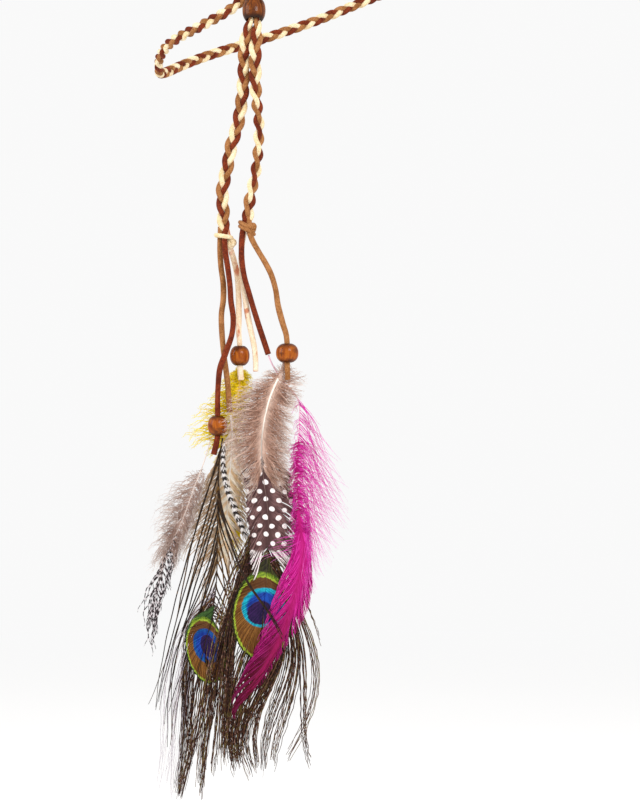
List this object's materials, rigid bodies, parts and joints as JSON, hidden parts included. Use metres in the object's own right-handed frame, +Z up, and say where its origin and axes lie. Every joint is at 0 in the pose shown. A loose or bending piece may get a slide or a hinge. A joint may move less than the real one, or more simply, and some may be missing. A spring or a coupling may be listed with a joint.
{
  "type": "feathered headdress",
  "caption": "Braided suede cord headband closed by a wooden slider bead; two knotted tails hang at one side and carry loose cords, wooden beads and dyed and natural feathers.",
  "frame": {"origin": "centre of the head loop, where the wearer's head goes through it", "axes": "+X towards the wearer's face, +Z up; the tails and feathers hang on the -Y side"},
  "size_m": [0.2014, 0.1589, 0.4771],
  "materials": {
    "braid_suede": "three suede cords, rust, tan and cream, braided flat",
    "rust_suede": "matt suede, reddish brown",
    "tan_suede": "matt suede, tan",
    "cream_suede": "matt suede, cream with rust stains",
    "bead_wood": "turned wood, stained brown and lacquered glossy",
    "guinea_plumage": "grey-brown down and a white-spotted vane",
    "magenta_plumage": "dyed magenta vane with pink down",
    "peacock_plumage": "bronze-green barbs and an iridescent blue eye",
    "barred_plumage": "narrow vane barred black and white",
    "yellow_plumage": "down dyed bright yellow",
    "tan_plumage": "soft peach and tan vane"
  },
  "bodies": {
    "root": {"head_braid": "braid_suede", "rear_tail_braid": "braid_suede", "front_tail_braid": "braid_suede", "rear_wrap_knot": "cream_suede", "front_wrap_knot": "tan_suede", "rear_cord_tan": "tan_suede", "rear_cord_rust": "rust_suede", "rear_cord_cream": "cream_suede", "front_cord_tan": "tan_suede", "front_cord_rust": "rust_suede", "front_cord_cream": "cream_suede", "slider_bead": "bead_wood", "front_cord_bead": "bead_wood", "cream_cord_bead": "bead_wood", "rust_cord_bead": "bead_wood", "guinea_feather": "guinea_plumage", "small_guinea_feather": "guinea_plumage", "magenta_feather": "magenta_plumage", "peacock_feather_front": "peacock_plumage", "peacock_feather_rear": "peacock_plumage", "barred_feather": "barred_plumage", "yellow_feather": "yellow_plumage", "tan_feather": "tan_plumage"}
  },
  "joints": []
}
